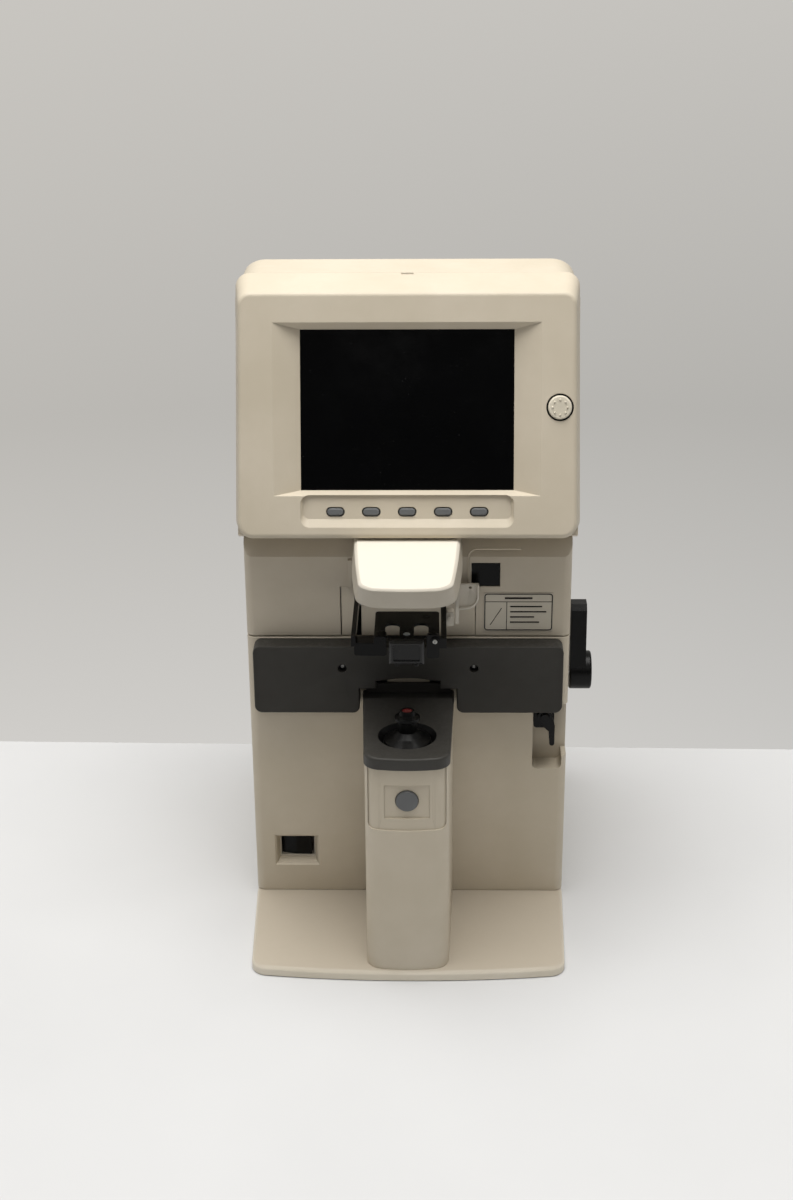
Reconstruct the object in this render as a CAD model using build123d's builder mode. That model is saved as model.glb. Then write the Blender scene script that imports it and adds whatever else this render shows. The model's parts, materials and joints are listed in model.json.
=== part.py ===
"""Table-top lensmeter: a tilted screen head over a body with a lens table and a measuring column.

Millimetres, X to the right, Y to the back, Z up. The origin is where the vertical
measuring axis of the nosepiece meets the table top the instrument stands on.
"""

import math
import os

from build123d import *

os.makedirs("parts", exist_ok=True)

# --- driving dimensions -------------------------------------------------------
WALL = 2.5  # moulded cover thickness
DATUM = -3.7  # the heights below are counted from this datum plane, under the table top
HALF_W = 95.0  # half width of the body
BODY_FRONT = 58.0  # front plane of the body
BODY_SPLIT = 200.0  # where the rear cover meets the front covers
BODY_REAR = 233.0
FOOT_BOTTOM = 3.7  # the table top that the instrument stands on
PAN_BOTTOM = 4.2  # underside of the base, held up by the feet
FOOT_TOP = 6.0
BASE_TOP = 10.1
BASE_WALL = 2.0
SEAM_Z = 184.0  # joint between lower and upper body covers
SHOULDER_Z = 234.5  # where the upper cover starts to slope back under the head
BODY_TOP = 244.0

FEET = [(-78, -8), (78, -8), (-78, 212), (78, 212)]

TILT = 16.5  # lean of the screen face
SIN_T = math.sin(math.radians(TILT))
COS_T = math.cos(math.radians(TILT))
FACE_Y = 37.0  # bottom edge of the screen face
FACE_Z = 254.0
FACE_LEN = 136.2
HEAD_HALF = 95.2  # half width of the face at its bottom edge
HEAD_TOP_HALF = 93.9  # and at its top edge
RIM_HALF = 98.8  # the sides of the bezel flare out to its back rim
HEAD_SEAM = 25.0  # depth of the bezel behind its face
HEAD_TOP = 389.5

SCREEN_W = 119.8
SCREEN_H = 89.7
SCREEN_S = 71.65  # height of the screen's centre on the face
STRIP_DEPTH = 2.4  # depth of the sunk strip with the keys
KEY_S = 14.9  # height of the key row on the face
KEY_PITCH = 20.2
KEY_W = 9.2
KEY_H = 4.0
KNOB_X = 85.1
KNOB_S = 73.2

TABLE_Y0 = 45.6  # front face of the lens table at rest
TABLE_Y1 = 57.6
TABLE_HALF = 90.6
TABLE_Z0 = 140.0
TABLE_Z1 = 183.0
ROD_X = 38.5
ROD_Z = 169.0
ROD_R = 5.0
RUN_FIT = 0.03  # radial clearance of a running fit

LEVER_Y = 88.0
LEVER_Z = 148.5
SHAFT_R = 4.0
PITCH_R = 16.0
TEETH = 32
GEAR_X0 = 62.0
GEAR_X1 = 70.0
TOOTH_PITCH = 2 * math.pi * PITCH_R / TEETH

COLUMN_TOP = 142.0
CAP_TOP = 149.0
BUTTON_Z = 121.3

LOCK_X = 81.7
LOCK_Z = 129.3

GUIDE_Y = 78.0
GUIDE_XS = (-37.0, -25.0)
GUIDE_R = 3.0

WINDOW_X = 45.05
WINDOW_Z = 223.3
SLOT_X = -29.25  # slot that the presser arm runs in

SWITCH_X = -69.3
SWITCH_Z = 38.8
SWITCH_Y = 64.0  # bottom of the well the mains switch sits in

FACE = Plane(
    origin=(0, FACE_Y, FACE_Z + DATUM), x_dir=(1, 0, 0), z_dir=(0, -COS_T, SIN_T)
)


def level(z):
    """Horizontal sketch plane at a height above the datum."""
    return Plane.XY.offset(z + DATUM)


def yz(s, d):
    """Point of the side view at height s up the tilted face and d in front of it."""
    return (FACE_Y + s * SIN_T - d * COS_T, FACE_Z + s * COS_T + d * SIN_T)


def xz(y):
    """Sketch plane facing the front, X to the right and its second axis up."""
    return Plane(origin=(0, y, DATUM), x_dir=(1, 0, 0), z_dir=(0, -1, 0))


def side(x):
    """Sketch plane facing the right, with Y and Z as its axes."""
    return Plane(origin=(x, 0, DATUM), x_dir=(0, 1, 0), z_dir=(1, 0, 0))


def base_outline(inset):
    """Plan of the base: bowed front edge, sides widening to the body."""
    front = 91.5 - inset
    back = HALF_W - inset
    rear = BODY_REAR - inset
    y0 = -30.2 + inset
    with BuildSketch() as plan:
        with BuildLine():
            ThreePointArc((-front, y0 + 6), (0, y0), (front, y0 + 6))
            Polyline(
                (front, y0 + 6),
                (back, BODY_FRONT),
                (back, rear),
                (-back, rear),
                (-back, BODY_FRONT),
                (-front, y0 + 6),
            )
        make_face()
        fillet(plan.vertices().sort_by(Axis.Y)[:2], 10 - inset)
        fillet(plan.vertices().sort_by(Axis.Y)[-2:], 8 - inset)
    return plan.sketch


def column_outline(grow, front_shift=0.0):
    """Plan of the measuring column: bowed front, sides widening to the body."""
    front = 23.6 + grow
    back = 26.75 + grow
    y0 = -28.0 - grow - front_shift
    with BuildSketch() as plan:
        with BuildLine():
            ThreePointArc((-front, y0 + 3), (0, y0), (front, y0 + 3))
            Polyline(
                (front, y0 + 3), (back, BODY_FRONT), (-back, BODY_FRONT), (-front, y0 + 3)
            )
        make_face()
        fillet(plan.vertices().sort_by(Axis.Y)[:2], 9.5 + grow)
    return plan.sketch


# --- base -----------------------------------------------------------------------
with BuildPart() as base_cover:
    with BuildSketch(level(PAN_BOTTOM)):
        add(base_outline(0))
    extrude(amount=BASE_TOP - PAN_BOTTOM)
    fillet(base_cover.faces().sort_by(Axis.Z)[-1].edges(), 2.4)
    with BuildSketch(level(PAN_BOTTOM)):
        add(base_outline(WALL))
    extrude(amount=BASE_TOP - PAN_BOTTOM - BASE_WALL, mode=Mode.SUBTRACT)
    # pads that take the feet and their screws
    with BuildSketch(level(FOOT_TOP)):
        with Locations(*FEET):
            Circle(10)
    extrude(amount=BASE_TOP - FOOT_TOP - 1)
    with BuildSketch(level(FOOT_TOP)):
        with Locations(*FEET):
            Circle(2)
    extrude(amount=BASE_TOP - FOOT_TOP - 0.9, mode=Mode.SUBTRACT)
    # cable ways up into the column and the body
    with BuildSketch(level(0)):
        with Locations((0, 20)):
            RectangleRounded(24, 40, 4)
        with Locations((0, 150)):
            RectangleRounded(120, 60, 6)
    extrude(amount=BASE_TOP + 1, mode=Mode.SUBTRACT)
base_cover.part.label = "base_cover"
export_step(base_cover.part, "parts/base_cover.step")

with BuildPart() as base_pan:
    with BuildSketch(level(PAN_BOTTOM)):
        add(base_outline(WALL + 0.2))
        with Locations(*FEET):
            Rectangle(34, 44, mode=Mode.SUBTRACT)
    extrude(amount=1)
base_pan.part.label = "base_pan"
export_step(base_pan.part, "parts/base_pan.step")

with BuildPart() as rubber_feet:
    with BuildSketch(level(FOOT_BOTTOM)):
        with Locations(*FEET):
            Circle(9)
            Circle(2.1, mode=Mode.SUBTRACT)
    extrude(amount=FOOT_TOP - FOOT_BOTTOM)
    rims = rubber_feet.edges().filter_by(GeomType.CIRCLE).group_by(Axis.Z)[0]
    chamfer(rims.group_by(SortBy.RADIUS)[-1], 0.5)
    with BuildSketch(level(FOOT_BOTTOM)):
        with Locations(*FEET):
            Circle(3.8)
    extrude(amount=1.3, mode=Mode.SUBTRACT)
rubber_feet.part.label = "rubber_feet"
export_step(rubber_feet.part, "parts/rubber_feet.step")

with BuildPart() as foot_screws:
    with BuildSketch(level(FOOT_BOTTOM + 0.3)):
        with Locations(*FEET):
            Circle(3.5)
            RegularPolygon(1.5, 6, mode=Mode.SUBTRACT)
    extrude(amount=1)
    with BuildSketch(level(FOOT_BOTTOM + 1.1)):
        with Locations(*FEET):
            Circle(1.9)
    extrude(amount=4.2)
foot_screws.part.label = "foot_screws"
export_step(foot_screws.part, "parts/foot_screws.step")

# --- folded steel frame inside the body ------------------------------------------
BULK_Y = 112.0
with BuildPart() as chassis_frame:
    with BuildSketch(level(BASE_TOP)):
        with Locations((0, 129)):
            Rectangle(172, 126)
            Rectangle(110, 40, mode=Mode.SUBTRACT)
    extrude(amount=2)
    with BuildSketch(xz(BULK_Y)):
        with Locations((0, (BASE_TOP + 241.2) / 2)):
            Rectangle(172, 241.2 - BASE_TOP)
        with Locations((0, 232)):
            Rectangle(26, 20)
        with Locations((-ROD_X, ROD_Z), (ROD_X, ROD_Z)):
            Circle(7, mode=Mode.SUBTRACT)
        with Locations((66, 170)):
            Rectangle(14, 14, mode=Mode.SUBTRACT)
        with Locations((0, 90)):
            Rectangle(30, 40, mode=Mode.SUBTRACT)
        with Locations((30, 215)):
            RectangleRounded(50, 30, 3, mode=Mode.SUBTRACT)
    extrude(amount=-2)
    # side gussets
    for x in (-86, 84):
        with BuildSketch(side(x)):
            Polygon((BULK_Y + 1, 11), (186, 11), (BULK_Y + 1, 110), align=None)
        extrude(amount=2)
    # arm that carries the receiver inside the column
    with BuildSketch(level(62)):
        with Locations((0, 50)):
            Rectangle(32, 128)
        Circle(6, mode=Mode.SUBTRACT)
    extrude(amount=2)
    # shelves holding the presser guide rods
    with BuildSketch(level(178)):
        with Locations((-31, 91.5)):
            Rectangle(30, 43)
        with Locations(*[(x, GUIDE_Y) for x in GUIDE_XS]):
            Circle(GUIDE_R, mode=Mode.SUBTRACT)
    extrude(amount=2)
    with BuildSketch(level(236)):
        with Locations((-31, 91.5)):
            Rectangle(30, 43)
        with Locations(*[(x, GUIDE_Y) for x in GUIDE_XS]):
            Circle(GUIDE_R, mode=Mode.SUBTRACT)
    extrude(amount=2)
    # inner bearing plate of the lever shaft
    with BuildSketch(side(56)):
        with Locations((94.5, 145)):
            Rectangle(37, 30)
        with Locations((LEVER_Y, LEVER_Z)):
            Circle(7, mode=Mode.SUBTRACT)
    extrude(amount=2)
chassis_frame.part.label = "chassis_frame"
export_step(chassis_frame.part, "parts/chassis_frame.step")

# --- lower body cover --------------------------------------------------------------
with BuildPart() as lower_body_cover:
    with BuildSketch(level(BASE_TOP)):
        with Locations((0, (BODY_FRONT + BODY_SPLIT) / 2)):
            Rectangle(2 * HALF_W, BODY_SPLIT - BODY_FRONT)
    extrude(amount=SEAM_Z - 0.3 - BASE_TOP)
    front_corners = lower_body_cover.edges().filter_by(Axis.Z).group_by(Axis.Y)[0]
    fillet(front_corners, 5)
    chamfer(lower_body_cover.faces().sort_by(Axis.Z)[0].edges().sort_by(Axis.Y)[:-1], 0.4)
    chamfer(lower_body_cover.faces().sort_by(Axis.Z)[-1].edges().sort_by(Axis.Y)[:-1], 0.5)
    with BuildSketch(level(BASE_TOP)):
        with Locations((0, (BODY_FRONT + WALL + BODY_SPLIT) / 2)):
            Rectangle(2 * (HALF_W - WALL), BODY_SPLIT - BODY_FRONT - WALL)
    extrude(amount=SEAM_Z, mode=Mode.SUBTRACT)
    # pocket for the small locking lever, open to the right side
    with BuildSketch(xz(BODY_FRONT + 1)):
        with Locations((82.5, 119.7)):
            Rectangle(21, 51.8)
    extrude(amount=-15.5)
    with BuildSketch(xz(BODY_FRONT - 1)):
        with Locations((83.2, 119.65)):
            RectangleRounded(17.6, 46.7, 3)
        with Locations((90, 121.9)):
            Rectangle(12, 34.8)
    extrude(amount=-15, mode=Mode.SUBTRACT)
    # well with sloping walls for the mains switch, wider at its lip
    with BuildSketch(xz(BODY_FRONT + 1)):
        with Locations((SWITCH_X, SWITCH_Z)):
            Rectangle(32, 25)
    extrude(amount=BODY_FRONT + 1 - SWITCH_Y)
    for y0, y1, mouth, floor in (
        (BODY_FRONT, SWITCH_Y, (25.6, 19.6), (21.8, 15.5)),
        (BODY_FRONT - 0.4, BODY_FRONT + 1, (28.2, 22.2), (25.4, 19.4)),
    ):
        with BuildSketch(xz(y0)):
            with Locations((SWITCH_X, SWITCH_Z)):
                Rectangle(*mouth)
        with BuildSketch(xz(y1)):
            with Locations((SWITCH_X, SWITCH_Z)):
                Rectangle(*floor)
        loft(ruled=True, mode=Mode.SUBTRACT)
    # openings behind the column and the lens table
    with BuildSketch(xz(BODY_FRONT)):
        with Locations((0, 80)):
            RectangleRounded(36, 110, 3)
        with Locations((-17, 157), (17, 157)):
            Rectangle(9, 14)
        with Locations((-ROD_X, ROD_Z), (ROD_X, ROD_Z)):
            Circle(7)
        with Locations((66, 169.5)):
            Rectangle(11, 13)
    extrude(amount=-WALL, mode=Mode.SUBTRACT)
    # lever shaft hole in the right wall
    with BuildSketch(side(HALF_W)):
        with Locations((LEVER_Y, LEVER_Z)):
            Circle(7)
    extrude(amount=-WALL, mode=Mode.SUBTRACT)
lower_body_cover.part.label = "lower_body_cover"
export_step(lower_body_cover.part, "parts/lower_body_cover.step")

# --- upper body cover ----------------------------------------------------------------
with BuildPart() as upper_body_cover:
    with BuildSketch(level(SEAM_Z + 0.3)):
        with Locations((0, (BODY_FRONT + BODY_SPLIT) / 2)):
            Rectangle(2 * HALF_W, BODY_SPLIT - BODY_FRONT)
    extrude(amount=BODY_TOP - SEAM_Z - 0.3)
    fillet(upper_body_cover.edges().filter_by(Axis.Z).group_by(Axis.Y)[0], 5)
    chamfer(upper_body_cover.faces().sort_by(Axis.Z)[0].edges().sort_by(Axis.Y)[:-1], 0.5)
    with BuildSketch(side(-100)):
        Polygon(
            (BODY_FRONT, 180),
            (BODY_FRONT, SHOULDER_Z),
            (BODY_FRONT + 7, BODY_TOP),
            (BODY_SPLIT, BODY_TOP),
            (BODY_SPLIT, 180),
            align=None,
        )
    extrude(amount=200, mode=Mode.INTERSECT)
    with BuildSketch(side(-(HALF_W - WALL))):
        Polygon(
            (BODY_FRONT + WALL, 180),
            (BODY_FRONT + WALL, SHOULDER_Z - 0.7),
            (BODY_FRONT + 8.2, BODY_TOP - WALL),
            (BODY_SPLIT, BODY_TOP - WALL),
            (BODY_SPLIT, 180),
            align=None,
        )
    extrude(amount=2 * (HALF_W - WALL), mode=Mode.SUBTRACT)
    # opening for the centre panel and the dark window
    with BuildSketch(xz(BODY_FRONT)):
        with Locations((0, 200)):
            Rectangle(79, 31.6)
        with Locations((WINDOW_X, WINDOW_Z)):
            Rectangle(16.7, 14.8)
    extrude(amount=-WALL, mode=Mode.SUBTRACT)
    # low upright rib above the slot of the presser arm
    with BuildSketch(xz(BODY_FRONT + 0.5)):
        with Locations((-33.5, 224.5)):
            Rectangle(2.2, 17)
    extrude(amount=2.5)
    # slot for the arm that carries the lamp, and the cable way to the head
    with BuildSketch(level(BODY_TOP - 8)):
        with Locations((0, 86)):
            Rectangle(29, 60)
        with Locations((0, 150)):
            RectangleRounded(110, 50, 6)
    extrude(amount=10, mode=Mode.SUBTRACT)
upper_body_cover.part.label = "upper_body_cover"
export_step(upper_body_cover.part, "parts/upper_body_cover.step")

with BuildPart() as centre_panel:
    with BuildSketch(xz(BODY_FRONT + 0.8)):
        with Locations((0.15, 200)):
            Rectangle(78.1, 31)
        with Locations((SLOT_X, 199.5)):
            Rectangle(4, 30, mode=Mode.SUBTRACT)
    extrude(amount=-2.2)
centre_panel.part.label = "centre_panel"
export_step(centre_panel.part, "parts/centre_panel.step")

with BuildPart() as sensor_window:
    with BuildSketch(xz(BODY_FRONT + 0.6)):
        with Locations((WINDOW_X, WINDOW_Z)):
            Rectangle(16.5, 14.6)
    extrude(amount=-1.6)
sensor_window.part.label = "sensor_window"
export_step(sensor_window.part, "parts/sensor_window.step")

with BuildPart() as blank_label:
    with BuildSketch(xz(BODY_FRONT)):
        with Locations((64.3, 199.9)):
            RectangleRounded(40.6, 24.2, 1)
    extrude(amount=0.4)
blank_label.part.label = "blank_label"
export_step(blank_label.part, "parts/blank_label.step")

# --- rear cover -----------------------------------------------------------------------
REAR_SCREWS = [(-84, 30), (84, 30), (-84, 130), (84, 130), (-84, 226), (84, 226)]
with BuildPart() as rear_cover:
    with BuildSketch(level(BASE_TOP)):
        with Locations((0, (BODY_SPLIT + BODY_REAR) / 2)):
            Rectangle(2 * HALF_W, BODY_REAR - BODY_SPLIT)
    extrude(amount=BODY_TOP - BASE_TOP)
    fillet(rear_cover.edges().filter_by(Axis.Z).group_by(Axis.Y)[-1], 8)
    with BuildSketch(level(BASE_TOP)):
        with Locations((0, (BODY_SPLIT + BODY_REAR - WALL) / 2)):
            Rectangle(2 * (HALF_W - WALL), BODY_REAR - WALL - BODY_SPLIT)
    extrude(amount=BODY_TOP - WALL - BASE_TOP, mode=Mode.SUBTRACT)
    # screw posts
    with BuildSketch(xz(BODY_REAR - WALL)):
        with Locations(*REAR_SCREWS):
            Circle(4)
    extrude(amount=28)
    # cooling louvres
    with BuildSketch(xz(BODY_REAR)):
        with GridLocations(0, 8, 1, 8):
            with Locations((0, 175)):
                SlotOverall(110, 3)
        with Locations((-56, 42)):
            Rectangle(28, 21)
        with Locations((46, 42)):
            Rectangle(31, 12)
    extrude(amount=WALL + 1, both=True, mode=Mode.SUBTRACT)
    with BuildSketch(xz(BODY_REAR)):
        with Locations(*REAR_SCREWS):
            Circle(3.4)
    extrude(amount=3, both=True, mode=Mode.SUBTRACT)
    with BuildSketch(xz(BODY_REAR)):
        with Locations(*REAR_SCREWS):
            Circle(1.6)
    extrude(amount=24, both=True, mode=Mode.SUBTRACT)
rear_cover.part.label = "rear_cover"
export_step(rear_cover.part, "parts/rear_cover.step")

with BuildPart() as rear_cover_screws:
    with BuildSketch(xz(BODY_REAR - 0.8)):
        with Locations(*REAR_SCREWS):
            Circle(3.1)
            RegularPolygon(1.4, 6, mode=Mode.SUBTRACT)
    extrude(amount=2.2)
    with BuildSketch(xz(BODY_REAR - 2.4)):
        with Locations(*REAR_SCREWS):
            Circle(1.5)
    extrude(amount=20)
rear_cover_screws.part.label = "rear_cover_screws"
export_step(rear_cover_screws.part, "parts/rear_cover_screws.step")

# --- head -------------------------------------------------------------------------------
BEZEL_TOP = FACE_LEN + 12.6  # the bezel grows upwards behind its face
with BuildPart() as head_bezel:
    with BuildSketch(FACE) as face_rim:
        Polygon(
            (-HEAD_HALF, 0),
            (HEAD_HALF, 0),
            (HEAD_TOP_HALF, FACE_LEN),
            (-HEAD_TOP_HALF, FACE_LEN),
            align=None,
        )
        fillet(face_rim.vertices().sort_by(Axis.Y)[:2], 8.5)
        fillet(face_rim.vertices().sort_by(Axis.Y)[-2:], 7)
    with BuildSketch(FACE.offset(-HEAD_SEAM)) as back_rim:
        rim_top = RIM_HALF - (HEAD_HALF - HEAD_TOP_HALF) * BEZEL_TOP / FACE_LEN
        Polygon(
            (-RIM_HALF, 0),
            (RIM_HALF, 0),
            (rim_top, BEZEL_TOP),
            (-rim_top, BEZEL_TOP),
            align=None,
        )
        fillet(back_rim.vertices().sort_by(Axis.Y)[:2], 9)
        fillet(back_rim.vertices().sort_by(Axis.Y)[-2:], 8)
    loft(ruled=True)
    fillet(head_bezel.faces().filter_by(FACE, tolerance=1e-4).sort_by(Axis.Y)[0].edges(), 2.6)
    # hollow, open to the rear
    with BuildSketch(FACE.offset(-4)) as front_hollow:
        with Locations((0, 67.5)):
            Rectangle(2 * (HEAD_TOP_HALF - 2), 127)
        fillet(front_hollow.vertices(), 6)
    with BuildSketch(FACE.offset(-HEAD_SEAM - 1)) as back_hollow:
        with Locations((0, 74.5)):
            Rectangle(2 * (RIM_HALF - WALL) - 2, 141)
        fillet(back_hollow.vertices(), 9)
    loft(ruled=True, mode=Mode.SUBTRACT)
    # thick frame around the screen
    with BuildSketch(FACE.offset(-3)):
        with Locations((0, 73.5)):
            Rectangle(152, 100)
    extrude(amount=-5.5)
    # wide bevels falling from the face to the screen
    with BuildSketch(FACE.offset(0.01)):
        with Locations((0, 72.05)):
            Rectangle(149.6, 96.3)
    with BuildSketch(FACE.offset(-6)):
        with Locations((0, SCREEN_S)):
            Rectangle(SCREEN_W, SCREEN_H)
    loft(ruled=True, mode=Mode.SUBTRACT)
    with BuildSketch(FACE.offset(-5.9)):
        with Locations((0, SCREEN_S)):
            Rectangle(SCREEN_W, SCREEN_H)
    extrude(amount=-4, mode=Mode.SUBTRACT)
    with BuildSketch(FACE.offset(-6.4)):
        with Locations((0, SCREEN_S)):
            Rectangle(SCREEN_W + 5.8, SCREEN_H + 4.2)
    extrude(amount=-4, mode=Mode.SUBTRACT)
    # sunk key strip with a broad slope along its lower side
    with BuildSketch(FACE.offset(-3)):
        with Locations((0, 15)):
            Rectangle(124, 19)
    extrude(amount=-2.7)
    with BuildSketch(FACE.offset(0.01)):
        with Locations((0, 15.2)):
            RectangleRounded(119.8, 18.2, 5)
    with BuildSketch(FACE.offset(-STRIP_DEPTH)):
        with Locations((0, 17.65)):
            RectangleRounded(116.6, 13.5, 3)
    loft(ruled=True, mode=Mode.SUBTRACT)
    with BuildSketch(FACE):
        with Locations(*[(i * KEY_PITCH, KEY_S) for i in range(-2, 3)]):
            SlotOverall(KEY_W + 1.3, KEY_H + 1.3)
    extrude(amount=-8, mode=Mode.SUBTRACT)
    with BuildSketch(FACE.offset(3)):
        with Locations((KNOB_X, KNOB_S)):
            Circle(7.65)
    extrude(amount=-12, mode=Mode.SUBTRACT)
    # small latch notch at the middle of the top seam
    with BuildSketch(FACE.offset(-HEAD_SEAM)):
        with Locations((0, BEZEL_TOP)):
            Rectangle(7, 6)
    extrude(amount=2.2, mode=Mode.SUBTRACT)
head_bezel.part.label = "head_bezel"
export_step(head_bezel.part, "parts/head_bezel.step")

REAR_PROFILE = [
    yz(0, -HEAD_SEAM),
    yz(BEZEL_TOP, -HEAD_SEAM),
    (113, HEAD_TOP),
    (137, HEAD_TOP),
    (206, 322),
    (214, 296),
    (214, 254),
    (206, BODY_TOP),
    (66, BODY_TOP),
]
with BuildPart() as head_cavity:
    with BuildSketch(side(-100)):
        Polygon(*REAR_PROFILE, align=None)
        offset(amount=-WALL, kind=Kind.INTERSECTION)
    extrude(amount=200)
    with BuildSketch(xz(0)) as inner_front:
        with Locations((0, 312.3)):
            Rectangle(190.4, 149.9)
        fillet(inner_front.vertices().sort_by(Axis.Y)[-2:], 12.5)
    extrude(amount=-300, mode=Mode.INTERSECT)

with BuildPart() as head_rear_cover:
    with BuildSketch(side(-100)) as profile:
        Polygon(*REAR_PROFILE, align=None)
        fillet(profile.vertices().sort_by(Axis.X)[-4:-1], 6)
    extrude(amount=200)
    with BuildSketch(xz(0)) as outer_front:
        with Locations((0, 312.2)):
            Rectangle(195.4, 154.6)
        fillet(outer_front.vertices().sort_by(Axis.Y)[-2:], 15)
    extrude(amount=-300, mode=Mode.INTERSECT)
    add(head_cavity.part, mode=Mode.SUBTRACT)
    # open to the bezel
    with BuildSketch(FACE.offset(-HEAD_SEAM + 1)):
        with Locations((0, 74)):
            Rectangle(182, 141)
    extrude(amount=-6, mode=Mode.SUBTRACT)
    # cable way down into the body
    with BuildSketch(level(BODY_TOP)):
        with Locations((0, 150)):
            RectangleRounded(110, 50, 6)
    extrude(amount=4, mode=Mode.SUBTRACT)
    # vent slots high in the back
    with BuildSketch(xz(160)):
        with Locations(*[(0, z) for z in range(266, 295, 7)]):
            SlotOverall(100, 2.6)
    extrude(amount=-80, mode=Mode.SUBTRACT)
head_rear_cover.part.label = "head_rear_cover"
export_step(head_rear_cover.part, "parts/head_rear_cover.step")

with BuildPart() as screen_window:
    with BuildSketch(FACE.offset(-6.4)):
        with Locations((0, SCREEN_S)):
            Rectangle(SCREEN_W + 5.4, SCREEN_H + 3.8)
    extrude(amount=-1.6)
screen_window.part.label = "screen_window"
export_step(screen_window.part, "parts/screen_window.step")

with BuildPart() as lcd_panel:
    with BuildSketch(FACE.offset(-8.5)):
        with Locations((0, 73.5)):
            Rectangle(136, 97)
    extrude(amount=-7)
    with BuildSketch(FACE.offset(-8.5)):
        with Locations((0, SCREEN_S)):
            Rectangle(116, 87)
    extrude(amount=0.4)
lcd_panel.part.label = "lcd_panel"
export_step(lcd_panel.part, "parts/lcd_panel.step")


def key_cap(x):
    """One pill-shaped key with the flange that keeps it behind the bezel."""
    with BuildPart() as cap:
        with BuildSketch(FACE.offset(-6)):
            with Locations((x, KEY_S)):
                SlotOverall(KEY_W, KEY_H)
        extrude(amount=4.4)
        fillet(cap.faces().filter_by(FACE, tolerance=1e-4).sort_by(Axis.Y)[0].edges(), 0.7)
        with BuildSketch(FACE.offset(-8)):
            with Locations((x, KEY_S)):
                SlotOverall(KEY_W + 3, KEY_H + 3)
        extrude(amount=2)
    return cap


for number in range(1, 6):
    function_key = key_cap((number - 3) * KEY_PITCH)
    function_key.part.label = f"function_key_{number}"
    export_step(function_key.part, f"parts/function_key_{number}.step")

with BuildPart() as key_board:
    with BuildSketch(FACE.offset(-12)):
        with Locations((0, 14.5)):
            Rectangle(120, 17)
    extrude(amount=1.6)
    with BuildSketch(FACE.offset(-10.4)):
        with Locations(*[(i * KEY_PITCH, KEY_S) for i in range(-2, 3)]):
            Rectangle(5, 5)
    extrude(amount=0.6)
key_board.part.label = "key_board"
export_step(key_board.part, "parts/key_board.step")

with BuildPart() as contrast_knob:
    with BuildSketch(FACE.offset(-7)):
        with Locations((KNOB_X, KNOB_S)):
            Circle(6.6)
    extrude(amount=8.4)
    fillet(contrast_knob.faces().filter_by(FACE, tolerance=1e-4).sort_by(Axis.Y)[0].edges(), 0.9)
    with BuildSketch(FACE.offset(-18)):
        with Locations((KNOB_X, KNOB_S)):
            Circle(3)
    extrude(amount=11.5)
    with BuildSketch(FACE.offset(1.2)):
        with Locations((KNOB_X, KNOB_S)):
            with PolarLocations(4.2, 8):
                Circle(0.7)
    extrude(amount=0.9, taper=20)
contrast_knob.part.label = "contrast_knob"
export_step(contrast_knob.part, "parts/contrast_knob.step")

with BuildPart() as knob_potentiometer:
    with BuildSketch(FACE.offset(-20)):
        with Locations((KNOB_X - 0.6, KNOB_S)):
            Rectangle(14, 16)
    extrude(amount=10)
    with BuildSketch(FACE.offset(-10)):
        with Locations((KNOB_X, KNOB_S)):
            Circle(7.6)
    extrude(amount=9.6)
    with BuildSketch(FACE.offset(-9)):
        with Locations((KNOB_X, KNOB_S)):
            Circle(6.9)
    extrude(amount=10, mode=Mode.SUBTRACT)
    with BuildSketch(FACE.offset(-20)):
        with Locations((KNOB_X, KNOB_S)):
            Circle(3 + RUN_FIT)
    extrude(amount=12, mode=Mode.SUBTRACT)
knob_potentiometer.part.label = "knob_potentiometer"
export_step(knob_potentiometer.part, "parts/knob_potentiometer.step")

# --- lamp nose over the measuring point ---------------------------------------------------
def nose_outline(y0, front, middle, back, corner):
    """Plan of the lamp nose at one height: bowed front, rounded corners, flaring sides."""
    with BuildSketch() as plan:
        with BuildLine():
            ThreePointArc((-front, y0 + 2.5), (0, y0), (front, y0 + 2.5))
            ThreePointArc((front, y0 + 2.5), (middle, 12), (back, 62))
            Line((back, 62), (-back, 62))
            ThreePointArc((-back, 62), (-middle, 12), (-front, y0 + 2.5))
        make_face()
        fillet(plan.vertices().sort_by(Axis.Y)[:2], corner)
    return plan.sketch


with BuildPart() as nose_cover:
    with BuildSketch(level(240)):
        add(nose_outline(-29.2, 26, 30.2, 31.2, 15))
    with BuildSketch(level(252)):
        add(nose_outline(-31.8, 24.4, 28.2, 30.2, 11))
    loft(ruled=True)
    chamfer(nose_cover.faces().sort_by(Axis.Z)[-1].edges().sort_by(Axis.Y)[:-1], 1.4)
    with BuildSketch(side(-40)):
        Polygon((-40, 239), (-40, 253), (39.6, 253), (61.5, 245.8), (61.5, 239), align=None)
    extrude(amount=80, mode=Mode.INTERSECT)
    with BuildSketch(level(239)):
        with Locations((0, 21.25)):
            RectangleRounded(43, 82.5, 5)
    extrude(amount=10.6, mode=Mode.SUBTRACT)
    with BuildSketch(side(-40)):
        Polygon(
            (BODY_FRONT, 230),
            (BODY_FRONT, SHOULDER_Z),
            (BODY_FRONT + 7, BODY_TOP),
            (BODY_FRONT + 7, 230),
            align=None,
        )
    extrude(amount=80, mode=Mode.SUBTRACT)
    # floor under the lamp with the light opening and the presser opening
    with BuildSketch(level(240)):
        with Locations((0, -5.5)):
            Rectangle(45, 31)
        Circle(10.2, mode=Mode.SUBTRACT)
    extrude(amount=1.5)
nose_cover.part.label = "nose_cover"
export_step(nose_cover.part, "parts/nose_cover.step")

with BuildPart() as nose_arm:
    with BuildSketch(level(242)):
        with Locations((0, 50.5)):
            Rectangle(28, 127)
        Circle(10, mode=Mode.SUBTRACT)
    extrude(amount=2)
nose_arm.part.label = "nose_arm"
export_step(nose_arm.part, "parts/nose_arm.step")

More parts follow.
